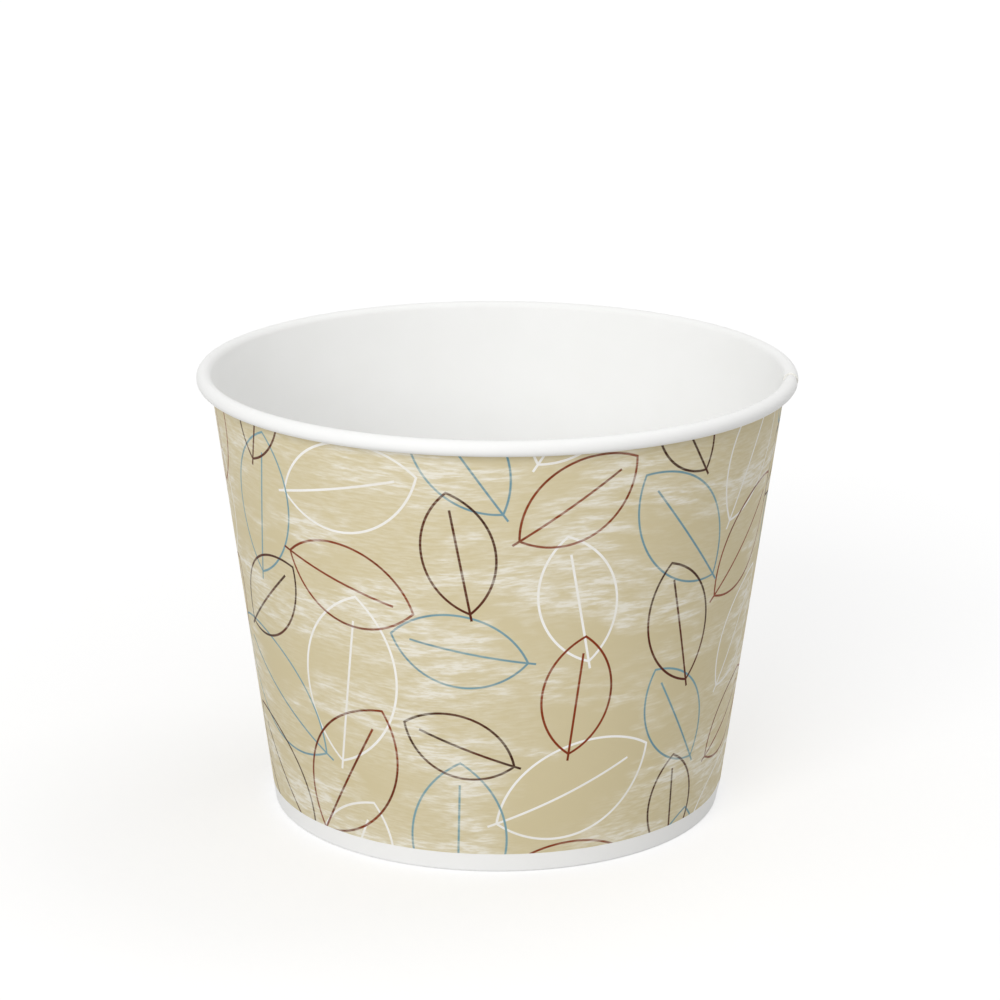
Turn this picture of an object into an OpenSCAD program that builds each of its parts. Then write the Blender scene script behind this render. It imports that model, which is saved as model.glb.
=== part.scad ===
// Paper food bucket: a tapered board sidewall with a rolled rim, a lapped side seam and a hem
// folded up inside the foot, and a round bottom whose skirt is sealed in that hem.
// Millimetres, +Z up. The origin is the middle of the foot, on the table.

/* [Bucket] */
// Outside diameter of the rolled rim
rim_d = 184; // [150:1:230]
// Outside diameter of the wall at the table
base_d = 140; // [110:1:146]
// Height from the table to the top of the rim
height = 138; // [90:1:200]

/* [Board] */
// Thickness of the sidewall board
wall_t = 0.5; // [0.3:0.05:0.8]
// Thickness of the bottom board
bottom_t = 0.5; // [0.3:0.05:0.8]

/* [Rolled rim] */
// Outside diameter of the rim's rolled section
curl_d = 4.6; // [3.4:0.1:7]
// Gap between the rim's tucked edge and the wall
curl_gap = 0.25; // [0.1:0.05:0.6]

/* [Bottom seam] */
// Height of the hem that is folded up inside the foot
hem_h = 9; // [6:0.5:14]
// Height from the hem's edge to the bend of the floor
hem_clear = 1; // [0.5:0.5:4]
// Inside radius of the bend between floor and skirt
bend_r = 1; // [0.5:0.1:2]
// Glue line on each face of the skirt
glue_gap = 0.05; // [0.02:0.01:0.1]
// Depth by which the foot's fold is ironed flat
foot_press = 0.15; // [0.05:0.05:0.25]

/* [Side seam] */
// Width of the lap at half height
lap_w = 10; // [6:0.5:16]
// Length over which the outer ply climbs onto the inner one
climb_w = 6; // [3:0.5:12]
// Steps in that climb
climb_steps = 3; // [2:1:6]
// Direction of the inner ply's cut edge, in degrees from +X towards +Y
seam_angle = 354; // [0:1:359]

/* [Hidden] */
$fn = 128;

board_white = "#f7f7f5";
print_tan = "#d0c29c";

base_r = base_d / 2;
curl_r = curl_d / 2;
// Radius of the roll's hollow, which the wall's outer face is tangent to
hollow_r = curl_r - wall_t;
// Overrun of every cutting shape
over = max(rim_d, height);

// Places along the board are rounded to this, so that its stretches meet exactly
grain = 0.01;
function place(y) = round(y / grain) * grain;

// Leaning frame of the wall: origin on its outer face at table height, Y up along the board
// and X square out of the printed face. The taper makes the face tangent to the roll's hollow.
roll_at = [rim_d / 2 - curl_r - base_r, height - curl_r];
roll_reach = norm(roll_at);
taper = atan2(roll_at.x, roll_at.y) - asin(hollow_r / roll_reach);
wall_len = place(sqrt(pow(roll_reach, 2) - pow(hollow_r, 2)));

// The hem's pocket holds the skirt between two glue lines
pocket = bottom_t + 2 * glue_gap;
fold_r = pocket / 2 + wall_t;
fold_y = place((fold_r - foot_press - fold_r * sin(taper)) / cos(taper));
hem_top = fold_y + hem_h;

// Bend of the bottom board, above the hem's edge
bend_x = -wall_t - glue_gap - bottom_t - bend_r;
bend_y = hem_top + hem_clear;

// The roll ends where its outer face comes within the gap of the wall
roll_end = 360 - acos((curl_gap - hollow_r) / curl_r);

// Turns of the side seam in degrees, from lengths at half height, rounded likewise
seam_r = (base_r + rim_d / 2) / 2;
turn_grain = 0.1;
function turn(w) = round(w / seam_r * 180 / PI / turn_grain) * turn_grain;
lap_turn = turn(lap_w);
step_turn = turn(climb_w / climb_steps);
// The lap runs from just above the fold to just under the roll
lap_low = fold_y + wall_t;
lap_top = wall_len - curl_r - curl_gap;
// Share of its height by which a climbing step is sunk in the first ply
bite_share = 0.5;
// Height of a climbing step, what it lacks of the lap's height, by which it is also shorter at both
// ends, and the turn between its start and the first edge
function rise(i) = wall_t * i / (climb_steps + 1);
function lack(i) = wall_t - rise(i);
function climb(i) = step_turn * (climb_steps + 1 - i);

// Places its children in the wall's leaning frame
module on_wall() {
    translate([base_r, 0]) rotate(-taper) children();
}

// Straight stretch of board whose outer face is at x, from y up to top
module strip(x, t, y, top) {
    translate([x - t, y]) square([t, top - y]);
}

// Full turn of bent board between two radii
module ring(from, to) difference() {
    circle(to);
    circle(from);
}

// Half of the plane, below the X axis
module half_plane() {
    translate([-over, -over]) square([2 * over, over]);
}

// Section of the board: wall, rim rolled outwards with its edge tucked under, fold that stands
// on the table, and hem inside it
module board_section() {
    on_wall() {
        strip(0, wall_t, hem_top, wall_len);
        translate([hollow_r, wall_len]) difference() {
            ring(hollow_r, curl_r);
            polygon([[0, 0], [-over, 0], over * [cos(roll_end), sin(roll_end)]]);
        }
    }
    difference() {
        on_wall() {
            strip(0, wall_t, fold_y, hem_top);
            translate([-fold_r, fold_y]) difference() {
                ring(pocket / 2, fold_r);
                rotate(180) half_plane();
            }
            strip(-wall_t - pocket, wall_t, fold_y, hem_top);
        }
        half_plane();
    }
}

// Turn of a strip of wall, from the angle start to the angle end: from x out to x + t
module band(start, end, x, t, low, top) {
    rotate_extrude(start = start, angle = end - start) on_wall() strip(x + t, t, low, top);
}

// Full turn of the board, hollowed inside by the climb's steps from this one on
module hollowed_turn(step) {
    if (step > climb_steps)
        rotate_extrude() board_section();
    else difference() {
        hollowed_turn(step + 1);
        band(-climb(step), 0, -wall_t - rise(step), 2 * rise(step), bend_y, lap_top - rise(step));
    }
}

// One board wrapped once round. Its far end climbs outwards in small steps and laps over its
// first edge, which shows inside the bucket.
module sidewall() color(print_tan) rotate(seam_angle) {
    hollowed_turn(1);
    for (i = [1:climb_steps])
        band(-climb(i), step_turn, -rise(i) * bite_share, rise(i) * (1 + bite_share),
             lap_low + lack(i), lap_top - lack(i));
    band(0, lap_turn, -wall_t * bite_share, wall_t * (1 + bite_share), lap_low, lap_top);
}

// Round bottom with its edge bent down into a skirt that the hem holds
module bottom() color(board_white) rotate_extrude() difference() {
    on_wall() {
        strip(-wall_t - glue_gap, bottom_t, fold_y, bend_y);
        translate([bend_x, bend_y]) {
            difference() {
                ring(bend_r, bend_r + bottom_t);
                half_plane();
                rotate(taper) rotate(-90) half_plane();
            }
            rotate(taper) translate([-over, bend_r]) square([over, bottom_t]);
        }
    }
    rotate(-90) half_plane();
}

sidewall();
bottom();
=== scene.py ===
import bpy
import numpy as np
from mathutils import Matrix


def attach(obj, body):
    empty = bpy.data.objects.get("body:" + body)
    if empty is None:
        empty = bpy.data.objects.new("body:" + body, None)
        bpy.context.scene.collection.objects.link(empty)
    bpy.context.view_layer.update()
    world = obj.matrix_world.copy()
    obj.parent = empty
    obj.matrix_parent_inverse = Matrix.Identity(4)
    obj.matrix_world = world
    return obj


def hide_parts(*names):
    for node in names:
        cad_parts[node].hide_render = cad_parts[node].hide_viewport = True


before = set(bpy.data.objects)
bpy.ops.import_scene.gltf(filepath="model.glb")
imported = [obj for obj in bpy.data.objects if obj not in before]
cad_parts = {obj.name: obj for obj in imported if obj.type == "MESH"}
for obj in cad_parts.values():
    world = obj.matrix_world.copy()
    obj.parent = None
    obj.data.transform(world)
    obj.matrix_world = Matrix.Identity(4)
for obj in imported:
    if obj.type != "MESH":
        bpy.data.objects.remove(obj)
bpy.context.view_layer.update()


# Sidewall: one fan-shaped blank of coated cup board, printed on one face, wrapped once round and
# heat-sealed in a lap. Its top edge is rolled outwards, so the rim shows the bare inner face, and its
# bottom edge is folded up inside the foot as a hem that holds the bottom. Sizes are in millimetres.
MM = 0.001
board_t = 0.5
base_r = 70.0
rim_r = 92.0
height = 138.0

# The wall leans by the angle that makes its printed face tangent to the hollow of the rim's roll, and the
# roll ends where its outer face comes within the gap of the wall.
curl_r = 2.3
curl_gap = 0.25
hollow_r = curl_r - board_t
roll_at = np.array([rim_r - curl_r - base_r, height - curl_r])
roll_reach = np.hypot(*roll_at)
taper = np.arctan2(*roll_at) - np.arcsin(hollow_r / roll_reach)
wall_len = np.sqrt(roll_reach**2 - hollow_r**2)
roll_end = 2 * np.pi - np.arccos((curl_gap - hollow_r) / curl_r)

# The fold leaves a pocket for the bottom's skirt and its glue, and is pressed flat where it stands.
pocket = 0.6
fold_r = pocket / 2 + board_t
foot_press = 0.15
fold_y = (fold_r - foot_press - fold_r * np.sin(taper)) / np.cos(taper)
hem_h = 9.0
hem_top = fold_y + hem_h

# The seam's first edge is at this turn from +X. The far end climbs onto it, with a film of coating between
# them, and goes on over it. The press leaves a share of that step at the foot, and the step grows to its
# full height above it. The covered edge stands a little off the table, on the lap that is folded under it.
seam_turn = np.radians(354.0)
climb_turn = np.radians(4.2)
lap_turn = np.radians(7.1)
film_t = 0.02
foot_lap_share = 0.12
foot_fade = 5.0
edge_stand = 0.04


def board_path():
    """Printed face of the board in the wall's leaning frame, from the rim's tucked edge to the hem's edge.

    An arc of the roll's hollow, the straight wall, a half turn round the pocket and the straight hem.
    Returns points, unit normals out of the printed face, heights on the flat blank, which run along the
    middle of the board and equal the wall's own height there, the wall's first row and its count of rows."""
    roll_points, wall_points, foot_points, fold_points, hem_points = 45, 24, 14, 13, 6
    foot_h = 8.0
    a = np.linspace(roll_end, 3 * np.pi, roll_points)
    spoke = np.stack([np.cos(a), np.sin(a)], 1)
    roll = spoke * hollow_r + [hollow_r, wall_len]
    roll_s = wall_len + (3 * np.pi - a) * (hollow_r + board_t / 2)
    y = np.concatenate([
        np.linspace(wall_len, foot_h, wall_points)[1:],
        np.linspace(foot_h, fold_y, foot_points)[1:],
    ])
    wall = np.stack([0 * y, y], 1)
    b = np.linspace(0, -np.pi, fold_points)[1:]
    turn = np.stack([np.cos(b), np.sin(b)], 1)
    fold = turn * fold_r + [-fold_r, fold_y]
    fold_s = fold_y + b * (fold_r - board_t / 2)
    h = np.linspace(0, hem_h, hem_points)[1:]
    hem = np.stack([0 * h - 2 * fold_r, fold_y + h], 1)
    points = np.concatenate([roll, wall, fold, hem])
    normals = np.concatenate([-spoke, wall * 0 + [1, 0], turn, hem * 0 + [-1, 0]])
    blank_s = np.concatenate([roll_s, y, fold_s, fold_s[-1] - h])
    return points, normals, blank_s, len(roll) - 1, len(y)


def smooth(x):
    """Smooth step from 0 to 1: 3 x^2 - 2 x^3 of x held between 0 and 1."""
    x = np.clip(x, 0, 1)
    return x * x * (3 - 2 * x)


path, path_normal, blank_s, wall_first, wall_rows = board_path()
wrap_columns, climb_columns, lap_columns = 300, 14, 8
turns = np.concatenate([
    np.linspace(0, 2 * np.pi - climb_turn, wrap_columns),
    np.linspace(2 * np.pi - climb_turn, 2 * np.pi, climb_columns)[1:],
    np.linspace(2 * np.pi, 2 * np.pi + lap_turn, lap_columns)[1:],
])
climb = smooth((turns - (2 * np.pi - climb_turn)) / climb_turn) * (board_t + film_t)
held = foot_lap_share + (1 - foot_lap_share) * smooth((blank_s - fold_y) / foot_fade)
lift = climb[:, None] * held[None, :]
stand = edge_stand * (1 - smooth((turns - lap_turn) / lap_turn))


def wrapped(face_depth):
    """Carries the path round the axis: every point moves along its normal by the lap's lift less the depth
    of this face, leans with the taper, and turns to its column's angle. No point goes under its stand."""
    p = path[None] + path_normal[None] * (lift - face_depth)[..., None]
    r = base_r + p[..., 0] * np.cos(taper) + p[..., 1] * np.sin(taper)
    z = np.maximum(p[..., 1] * np.cos(taper) - p[..., 0] * np.sin(taper), stand[:, None])
    angle = (turns + seam_turn)[:, None]
    return np.stack([r * np.cos(angle), r * np.sin(angle), z], 2)


def grid_faces(columns, per, round_columns, round_points):
    """Quads of a grid with this many points per column: each joins a point and the next one along its column
    to the same two of the next column. Either direction may run round to its start."""
    c, k = np.meshgrid(
        np.arange(columns if round_columns else columns - 1),
        np.arange(per if round_points else per - 1),
        indexing="ij",
    )
    d, n = (c + 1) % columns, (k + 1) % per
    return np.stack([c * per + k, c * per + n, d * per + n, d * per + k], 2).reshape(-1, 4)


def new_piece(name, points, faces):
    """Puts points in millimetres and lists of corners into a smooth mesh whose steep edges stay sharp."""
    crease = np.radians(40)
    mesh = bpy.data.meshes.new(name)
    mesh.from_pydata((points * MM).tolist(), [], faces)
    mesh.polygons.foreach_set("use_smooth", np.ones(len(faces), dtype=bool))
    mesh.set_sharp_from_angle(angle=crease)
    mesh.update()
    piece = bpy.data.objects.new(name, mesh)
    bpy.context.scene.collection.objects.link(piece)
    return piece


# The mesh is a tube round the board's section, the printed face down and the bare face back up, closed by
# the two cut ends. Its slots are the print, the bare face and the cut edges.
rows, columns = len(path), len(turns)
loop = 2 * rows
points = np.concatenate([wrapped(0.0), wrapped(board_t)[:, ::-1]], 1).reshape(-1, 3)
tube = grid_faces(columns, loop, round_columns=False, round_points=True)
i = np.arange(rows - 1)
end = np.stack([i, loop - 1 - i, loop - 2 - i, i + 1], 1)
faces = np.concatenate([tube, end, end[:, ::-1] + (columns - 1) * loop])
tube_c, tube_k = tube[:, 0] // loop, tube[:, 0] % loop
on_print = (tube_k >= wall_first) & (tube_k < wall_first + wall_rows)
on_cut = (tube_k == rows - 1) | (tube_k == loop - 1)
slots = np.concatenate([np.where(on_print, 0, np.where(on_cut, 2, 1)), np.full(2 * len(end), 2)])

# The blank laid flat, as UV in units of 100 mm: a fan about the cone's tip, upright at the bucket's front.
fan_unit = 100.0
fan_tip = base_r / np.sin(taper)
front_turn = np.radians(270.0 + 360.0) - seam_turn
fan_r = fan_tip + np.concatenate([blank_s, blank_s[::-1]])[None, :]
fan_a = ((turns - front_turn) * np.sin(taper))[:, None]
fan = np.stack([fan_r * np.sin(fan_a), fan_r * np.cos(fan_a) - fan_tip], 2).reshape(-1, 2) / fan_unit
blank_uv = fan[faces]

# Bake layout: the printed face in four strips that fill four fifths of the map, the bare faces in one band
# above them, and the cut ends in thin lines at the top.
strips = 4
strip_wide, strip_high, margin = 0.5, 0.4, 0.006
bare_low, bare_high = 0.81, 0.16
end_low, end_high, end_pitch = 0.978, 0.008, 0.012
corner_c, corner_k = faces // loop, faces % loop
around, along = corner_c[:len(tube)], corner_k[:len(tube)]
strip = tube_c * strips // (columns - 1)
first = np.ceil(np.arange(strips + 1) * (columns - 1) / strips).astype(int)
start, stop = turns[first[strip]][:, None], turns[first[strip + 1]][:, None]
up = (blank_s[np.minimum(along, rows - 1)] - fold_y) / (wall_len - fold_y)
across = (turns[around] - start) / (stop - start)
print_uv = np.stack([
    strip_wide * (strip % 2)[:, None] + margin + (strip_wide - 2 * margin) * across,
    strip_high * (strip // 2)[:, None] + margin + (strip_high - 2 * margin) * up,
], 2)
bare_first = wall_first + wall_rows
edge_len = np.linalg.norm(np.diff(points[:loop], axis=0, append=points[:1]), axis=1)
bare_s = np.concatenate([[0], np.cumsum(np.roll(edge_len, -bare_first))])
bare_uv = np.stack([
    margin + (1 - 2 * margin) * turns[around] / turns[-1],
    bare_low + bare_high * bare_s[(along - bare_first) % loop] / bare_s[loop - wall_rows],
], 2)
end_c, end_k = corner_c[len(tube):], corner_k[len(tube):]
end_uv = np.stack([
    margin + (1 - 2 * margin) * np.minimum(end_k, loop - 1 - end_k) / (rows - 1),
    end_low + end_high * (end_k >= rows) + end_pitch * (end_c > 0),
], 2)
bake_uv = np.concatenate([np.where(on_print[:, None, None], print_uv, bare_uv), end_uv])

sidewall = new_piece("sidewall_board", points, faces.tolist())
sidewall.data.polygons.foreach_set("material_index", slots.astype(np.int32))
for map_name, uv in {"Blank": blank_uv, "OFBake": bake_uv}.items():
    sidewall.data.uv_layers.new(name=map_name).data.foreach_set("uv", uv.astype(np.float32).ravel())


def linear(code):
    """sRGB hex to linear colour: c / 12.92 below 0.04045, else ((c + 0.055) / 1.055) to the power 2.4."""
    c = np.array([int(code[i:i + 2], 16) / 255 for i in (1, 3, 5)])
    c = np.where(c <= 0.04045, c / 12.92, ((c + 0.055) / 1.055) ** 2.4)
    return (*c.tolist(), 1.0)


def node(tree, kind, *inputs, out=0, at=None, **settings):
    """Adds a shader node with its settings, fills its sockets in order, or by number, with links or values,
    and returns one of its outputs."""
    n = tree.nodes.new("ShaderNode" + kind)
    for key, value in settings.items():
        setattr(n, key, value)
    for key, value in [*enumerate(inputs), *(at or {}).items()]:
        if isinstance(value, bpy.types.NodeSocket):
            tree.links.new(value, n.inputs[key])
        elif value is not None:
            n.inputs[key].default_value = value
    return n.outputs[out]


def new_material(name):
    """A node material with one Principled shader, as (material, its tree, the shader)."""
    material = bpy.data.materials.new(name)
    material.use_nodes = True
    return material, material.node_tree, material.node_tree.nodes["Principled BSDF"]


def leaf_lines(tree, blank_mm, cell, shift, lean, spread, length, width, line):
    """Mask of leaf outlines with a midrib, one in each cell of a half-dropped grid on the blank.

    Each cell has a chance lean and size. A leaf is where two discs overlap, so its distance is
    |(|x| + k, y)| - R, with k = (L^2 - W^2) / 4W and R = k + W / 2. The rib is |x| over most of the length
    and a short stem. The line is where the lesser of the two is under half of the line's width."""
    least_size, size_range = 0.7, 0.4
    rib_half_share, rib_drop_share = 0.45, 0.1
    soft_edge = 0.1
    q = node(tree, "VectorMath", blank_mm, (*shift, 0), operation="ADD")
    q = node(tree, "VectorMath", q, (*cell, 1), operation="DIVIDE")
    column = node(tree, "Math", node(tree, "SeparateXYZ", q), operation="FLOOR")
    odd = node(tree, "Math", column, 2.0, operation="FLOORED_MODULO")
    drop = node(tree, "Math", odd, 0.5, operation="MULTIPLY")
    q = node(tree, "VectorMath", q, node(tree, "CombineXYZ", 0.0, drop, 0.0), operation="ADD")
    corner = node(tree, "VectorMath", q, operation="FLOOR")
    chance = node(tree, "TexWhiteNoise", corner, out=1, noise_dimensions="2D")
    first_chance = node(tree, "SeparateXYZ", chance)
    second_chance = node(tree, "SeparateXYZ", chance, out=1)
    turn = node(tree, "Math", first_chance, spread, lean - spread / 2, operation="MULTIPLY_ADD")
    size = node(tree, "Math", second_chance, size_range, least_size, operation="MULTIPLY_ADD")

    # Place in the leaf's own frame, in mm: from the cell's middle, turned, at the leaf's own size
    local = node(tree, "VectorMath", q, operation="FRACTION")
    local = node(tree, "VectorMath", local, (0.5, 0.5, 0), operation="SUBTRACT")
    local = node(tree, "VectorMath", local, (*cell, 0), operation="MULTIPLY")
    local = node(tree, "VectorRotate", local, None, None, turn, rotation_type="Z_AXIS")
    local = node(tree, "VectorMath", local, node(tree, "CombineXYZ", size, size, 1.0), operation="DIVIDE")
    x = node(tree, "Math", node(tree, "SeparateXYZ", local), operation="ABSOLUTE")
    y = node(tree, "SeparateXYZ", local, out=1)

    k = (length**2 - width**2) / (4 * width)
    spoke = node(tree, "CombineXYZ", node(tree, "Math", x, k, operation="ADD"), y, 0.0)
    edge = node(tree, "VectorMath", spoke, out=1, operation="LENGTH")
    edge = node(tree, "Math", edge, k + width / 2, operation="SUBTRACT")
    edge = node(tree, "Math", edge, operation="ABSOLUTE")
    past = node(tree, "Math", y, rib_drop_share * length, operation="ADD")
    past = node(tree, "Math", past, operation="ABSOLUTE")
    past = node(tree, "Math", past, rib_half_share * length, operation="SUBTRACT")
    rib = node(tree, "Math", x, past, operation="MAXIMUM")
    near = node(tree, "Math", edge, rib, operation="MINIMUM")
    near = node(tree, "Math", near, size, operation="MULTIPLY")
    outer, inner = line / 2 + soft_edge, line / 2 - soft_edge
    return node(tree, "MapRange", near, outer, inner, 0.0, 1.0, interpolation_type="SMOOTHSTEP")


def streaks(tree, place_mm, long, high, low, top, detail):
    """Noise stretched to marks of this length and height in mm, its values from low to top spread over
    0 to 1."""
    roughness = 0.6
    place = node(tree, "VectorMath", place_mm, (1 / long, 1 / high, 1), operation="MULTIPLY")
    noise = node(tree, "TexNoise", place, None, 1.0, detail, roughness, noise_dimensions="2D")
    return node(tree, "MapRange", noise, low, top, 0.0, 1.0)


# Printed cup board: bleached board with a tan ground and four flat inks under a matt varnish. The eye gets a
# dry even sheen and thin worn lines over a ground that looks dry-brushed, with paler rubbed patches.
printed, tree, shader = new_material("printed_cup_board")
blank = node(tree, "UVMap", uv_map="Blank")
blank_mm = node(tree, "VectorMath", blank, (fan_unit, fan_unit, 0), operation="MULTIPLY")

# The brush marks run round the wall and sway a little: their places are the arc at half height and the
# height on the board.
sway_long, sway_high = 110, 10.0
from_tip = node(tree, "VectorMath", blank_mm, (0, fan_tip, 0), operation="ADD")
aside, ahead = node(tree, "SeparateXYZ", from_tip), node(tree, "SeparateXYZ", from_tip, out=1)
bearing = node(tree, "Math", aside, ahead, operation="ARCTAN2")
arc = node(tree, "Math", bearing, fan_tip + wall_len / 2, operation="MULTIPLY")
above = node(tree, "VectorMath", from_tip, out=1, operation="LENGTH")
above = node(tree, "Math", above, fan_tip, operation="SUBTRACT")
sway = node(tree, "TexNoise", blank_mm, None, 1 / sway_long, 1.0, noise_dimensions="2D")
sway = node(tree, "Math", sway, sway_high, above, operation="MULTIPLY_ADD")
brushed = node(tree, "CombineXYZ", arc, sway, 0.0)

# Bristle marks show strongly in rubbed patches, and faintly in a wider haze.
fine_share, faint_share, rubbed_share = 0.7, 0.36, 1.5
fine = streaks(tree, brushed, long=5.0, high=0.8, low=0.36, top=0.70, detail=4.0)
coarse = streaks(tree, brushed, long=15.0, high=2.6, low=0.34, top=0.64, detail=3.0)
patch = streaks(tree, brushed, long=46.0, high=16.0, low=0.45, top=0.63, detail=3.0)
haze = streaks(tree, brushed, long=70.0, high=24.0, low=0.36, top=0.60, detail=2.0)
bristle = node(tree, "Math", fine, fine_share, 1 - fine_share, operation="MULTIPLY_ADD")
bristle = node(tree, "Math", bristle, coarse, operation="MULTIPLY")
rubbed = node(tree, "Math", bristle, patch, operation="MULTIPLY")
faint = node(tree, "Math", fine, haze, operation="MULTIPLY")
faint = node(tree, "Math", faint, faint_share, operation="MULTIPLY")
pale = node(tree, "Math", rubbed, rubbed_share, faint, operation="MULTIPLY_ADD", use_clamp=True)
colour = node(tree, "Mix", pale, out=2, at={6: linear("#d8cba5"), 7: linear("#f0ebdc")}, data_type="RGBA")

# Each ink has a grid of leaves of its own, set between those of the others so that they spread evenly. It
# varies between two tones, and is worn where the ground is rubbed.
leaf_cell = (70, 62)
ink_loss = 0.45
kept_ink = node(tree, "Math", pale, -ink_loss, 1.0, operation="MULTIPLY_ADD")
two_tone = streaks(tree, blank_mm, long=34.0, high=34.0, low=0.42, top=0.58, detail=1.0)
for ink, other_ink, leaf in (
    ("#fdfcf9", "#f6f4ef", dict(shift=(11, 5), lean=0.5, spread=1.9, length=54, width=31, line=0.74)),
    ("#6f98a6", "#7ba3ae", dict(shift=(46, 20.5), lean=-0.7, spread=2.0, length=54, width=30, line=0.66)),
    ("#863413", "#6a260c", dict(shift=(11, 36), lean=0.9, spread=2.2, length=50, width=28, line=0.72)),
    ("#3a1405", "#54200d", dict(shift=(46, 51.5), lean=-0.3, spread=2.6, length=46, width=26, line=0.75)),
):
    ink = node(tree, "Mix", two_tone, out=2, at={6: linear(ink), 7: linear(other_ink)}, data_type="RGBA")
    laid = node(tree, "Math", leaf_lines(tree, blank_mm, leaf_cell, **leaf), kept_ink, operation="MULTIPLY")
    colour = node(tree, "Mix", laid, out=2, at={6: colour, 7: ink}, data_type="RGBA")

# The print stops 6 mm above the foot's edge, where the board stays white for the seal.
print_low, print_soft = 6.0, 0.1
in_field = node(tree, "MapRange", above, print_low - print_soft, print_low, 0.0, 1.0)
colour = node(tree, "Mix", in_field, out=2, at={6: linear("#fcfcfb"), 7: colour}, data_type="RGBA")
tree.links.new(colour, shader.inputs["Base Color"])

# Board fibres, drawn 0.7 mm wide so that they show, lift the face by hundredths of a millimetre and vary its
# sheen. Most values of a noise lie between noise_low and noise_top.
fibre_wide, fibre_high, fibre_bump = 0.7, 0.04, 0.25
noise_low, noise_top = 0.3, 0.7
print_smooth, print_rough = 0.50, 0.60
fibre = node(tree, "TexNoise", blank_mm, None, 1 / fibre_wide, 3.0, noise_dimensions="2D")
sheen = node(tree, "MapRange", fibre, noise_low, noise_top, print_smooth, print_rough)
tree.links.new(sheen, shader.inputs["Roughness"])
tree.links.new(node(tree, "Bump", fibre_bump, fibre_high * MM, None, fibre), shader.inputs["Normal"])
shader.inputs["Specular IOR Level"].default_value = 0.15
sidewall.data.materials.append(printed)

# Coated cup board: the bare white face under a thin film of polyethylene, a little glossier than the print
# and very slightly pebbled by the fibres below.
coated, tree, shader = new_material("coated_white_board")
pebble_wide, pebble_high, pebble_bump = 0.9, 0.04, 0.2
cloud_wide = 14
film_smooth, film_rough = 0.46, 0.58
to_mm = (1 / MM, 1 / MM, 1 / MM)
place_mm = node(tree, "VectorMath", node(tree, "TexCoord", out=3), to_mm, operation="MULTIPLY")
pebble = node(tree, "TexNoise", place_mm, None, 1 / pebble_wide, 3.0)
cloud = node(tree, "TexNoise", place_mm, None, 1 / cloud_wide, 2.0)
tone = node(tree, "Mix", cloud, out=2, at={6: linear("#f7f7f5"), 7: linear("#fafaf9")}, data_type="RGBA")
tree.links.new(tone, shader.inputs["Base Color"])
sheen = node(tree, "MapRange", pebble, noise_low, noise_top, film_smooth, film_rough)
tree.links.new(sheen, shader.inputs["Roughness"])
tree.links.new(node(tree, "Bump", pebble_bump, pebble_high * MM, None, pebble), shader.inputs["Normal"])
shader.inputs["Specular IOR Level"].default_value = 0.2
sidewall.data.materials.append(coated)

# Cut edge of the board: bare pulp between the two faces, duller and a little yellower.
cut, tree, shader = new_material("cut_board_edge")
pulp_wide, pulp_high, pulp_bump = 0.4, 0.1, 0.5
place_mm = node(tree, "VectorMath", node(tree, "TexCoord", out=3), to_mm, operation="MULTIPLY")
pulp = node(tree, "TexNoise", place_mm, None, 1 / pulp_wide, 3.0)
tone = node(tree, "Mix", pulp, out=2, at={6: linear("#e9e7e0"), 7: linear("#f0efea")}, data_type="RGBA")
tree.links.new(tone, shader.inputs["Base Color"])
tree.links.new(node(tree, "Bump", pulp_bump, pulp_high * MM, None, pulp), shader.inputs["Normal"])
shader.inputs["Roughness"].default_value = 0.9
sidewall.data.materials.append(cut)

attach(sidewall, "root")
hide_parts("sidewall")


# Bottom: one round blank of the same white board. Its edge is drawn down into a skirt, which is sealed
# between the wall and the hem.
bottom_t = 0.5
glue_gap = 0.05
bend_r = 1.0
hem_clear = 1.0
hub_r = 0.5
bend_x = -board_t - glue_gap - bottom_t - bend_r
bend_y = hem_top + hem_clear
centre_r = base_r + bend_x * np.cos(taper) + bend_y * np.sin(taper)
centre_z = bend_y * np.cos(taper) - bend_x * np.sin(taper)


def bottom_face(depth):
    """One face of the bottom as (radius, height) from the middle out: a flat floor, a bend of bend_r plus the
    board that is still under the face, and a skirt that leans with the wall down to the fold."""
    floor_points, bend_points, skirt_points = 30, 13, 8
    bend = bend_r + bottom_t - depth
    r = np.linspace(hub_r, centre_r, floor_points)
    flat = np.stack([r, 0 * r + centre_z + bend], 1)
    a = np.linspace(np.pi / 2, -taper, bend_points)[1:]
    arc = np.stack([centre_r + bend * np.cos(a), centre_z + bend * np.sin(a)], 1)
    down = np.linspace(0, bend_y - fold_y, skirt_points)[1:, None]
    return np.concatenate([flat, arc, arc[-1:] - down * [np.sin(taper), np.cos(taper)]])


# Both faces turn about the axis, and a small fan of triangles closes each at its hub.
columns = 240
upper, lower = bottom_face(0.0), bottom_face(bottom_t)
section = np.concatenate([upper, lower[::-1]])
angle = np.linspace(0, 2 * np.pi, columns, endpoint=False)[:, None]
per = len(section)
points = np.stack([
    section[:, 0] * np.cos(angle),
    section[:, 0] * np.sin(angle),
    np.broadcast_to(section[:, 1], (columns, per)),
], 2).reshape(-1, 3)
upper_hub, lower_hub = len(points), len(points) + 1
points = np.concatenate([points, [[0, 0, upper[0, 1]], [0, 0, lower[0, 1]]]])
board = grid_faces(columns, per, round_columns=True, round_points=False)
c = np.arange(columns)
d = (c + 1) % columns
hubs = np.concatenate([
    np.stack([c * per, d * per, 0 * c + upper_hub], 1),
    np.stack([d * per + per - 1, c * per + per - 1, 0 * c + lower_hub], 1),
])
bottom = new_piece("bottom_board", points, board.tolist() + hubs.tolist())
bottom.data.materials.append(coated)
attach(bottom, "root")
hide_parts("bottom")


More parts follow.
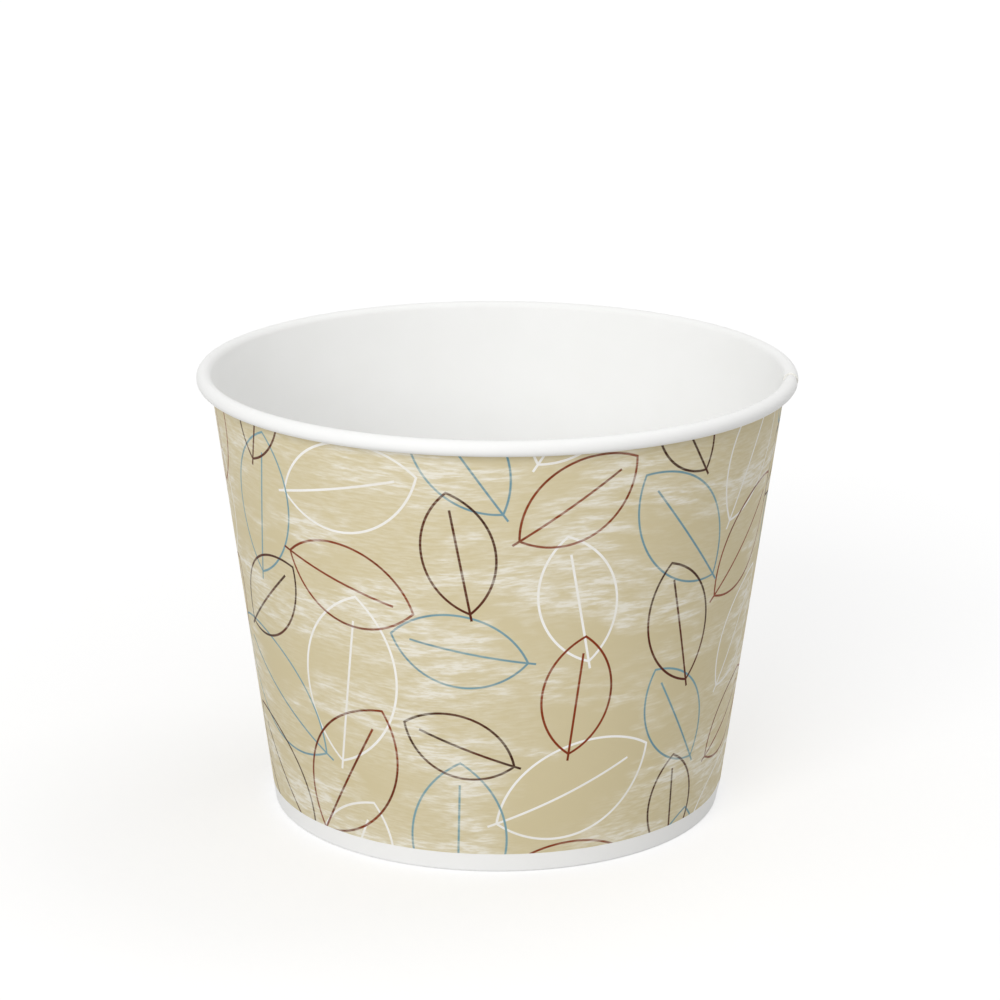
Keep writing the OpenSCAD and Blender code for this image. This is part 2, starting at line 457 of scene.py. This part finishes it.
# Studio, in metres: a white paper floor that keeps the bucket's shadow, a broad soft lamp from the left and
# above the camera, a weaker one high behind on the right, and an even white surround.
half = 4.0
floor_corners = [(-half, -half, 0), (half, -half, 0), (half, half, 0), (-half, half, 0)]
floor_mesh = bpy.data.meshes.new("studio_floor")
floor_mesh.from_pydata(floor_corners, [], [(0, 1, 2, 3)])
floor = bpy.data.objects.new("studio_floor", floor_mesh)
bpy.context.scene.collection.objects.link(floor)


def seen_directly(tree):
    """1 for rays from the camera, from gloss and through clear things, which see plain white, else 0."""
    rays = tree.nodes.new("ShaderNodeLightPath").outputs
    seen = node(tree, "Math", rays["Is Camera Ray"], rays["Is Glossy Ray"], operation="MAXIMUM")
    return node(tree, "Math", seen, rays["Is Transmission Ray"], operation="MAXIMUM")


# White studio paper: matt, with no sheen. Away from the lamps it glows more, so that all of it looks white
# but the bucket's shadow.
paper, tree, shader = new_material("white_studio_paper")
near, far, near_glow, far_glow = 0.1, 1.2, 0.46, 0.64
away = node(tree, "VectorMath", node(tree, "TexCoord", out=3), out=1, operation="LENGTH")
glow = node(tree, "MapRange", away, near, far, near_glow, far_glow)
glow = node(tree, "Math", seen_directly(tree), glow, operation="MULTIPLY")
tree.links.new(glow, shader.inputs["Emission Strength"])
shader.inputs["Emission Color"].default_value = (1, 1, 1, 1)
shader.inputs["Base Color"].default_value = linear("#cccccc")
shader.inputs["Roughness"].default_value = 0.9
shader.inputs["Specular IOR Level"].default_value = 0.0
floor_mesh.materials.append(paper)

# The surround lights the bucket evenly at this level, and is plain white where it is seen.
surround_light = 0.605
world = bpy.data.worlds.new("studio_surround")
bpy.context.scene.world = world
world.use_nodes = True
tree = world.node_tree
sky = tree.nodes["Background"]
sky.inputs["Color"].default_value = (1, 1, 1, 1)
strength = node(tree, "MapRange", seen_directly(tree), 0.0, 1.0, surround_light, 1.0)
tree.links.new(strength, sky.inputs["Strength"])


def soft_box(name, turn, rise, far, wide, watts):
    """Square lamp that faces the bucket's middle, turned from the front and raised by angles in degrees."""
    middle_z = 0.07
    lamp = bpy.data.lights.new(name, "AREA")
    lamp.size = wide
    lamp.energy = watts
    box = bpy.data.objects.new(name, lamp)
    bpy.context.scene.collection.objects.link(box)
    box.matrix_world = (
        Matrix.Translation((0, 0, middle_z))
        @ Matrix.Rotation(np.radians(turn), 4, "Z")
        @ Matrix.Rotation(np.radians(90 - rise), 4, "X")
        @ Matrix.Translation((0, 0, far))
    )


soft_box("key_soft_box", turn=-22, rise=27, far=1.7, wide=0.9, watts=12.3)
soft_box("back_soft_box", turn=130, rise=60, far=1.7, wide=0.9, watts=4.4)

# The camera is the one that the photo's outline of rim, walls and foot fits.
eye_at = (0.00096, -0.9349, 0.3661)
look_down = 16.182
roll = 0.0032
camera = bpy.data.cameras.new("camera")
camera.sensor_width = 36.0
camera.lens = 112.91
eye = bpy.data.objects.new("camera", camera)
bpy.context.scene.collection.objects.link(eye)
eye.matrix_world = (
    Matrix.Translation(eye_at)
    @ Matrix.Rotation(np.radians(90 - look_down), 4, "X")
    @ Matrix.Rotation(roll, 4, "Z")
)
bpy.context.scene.camera = eye
bpy.context.scene.view_settings.view_transform = "Standard"
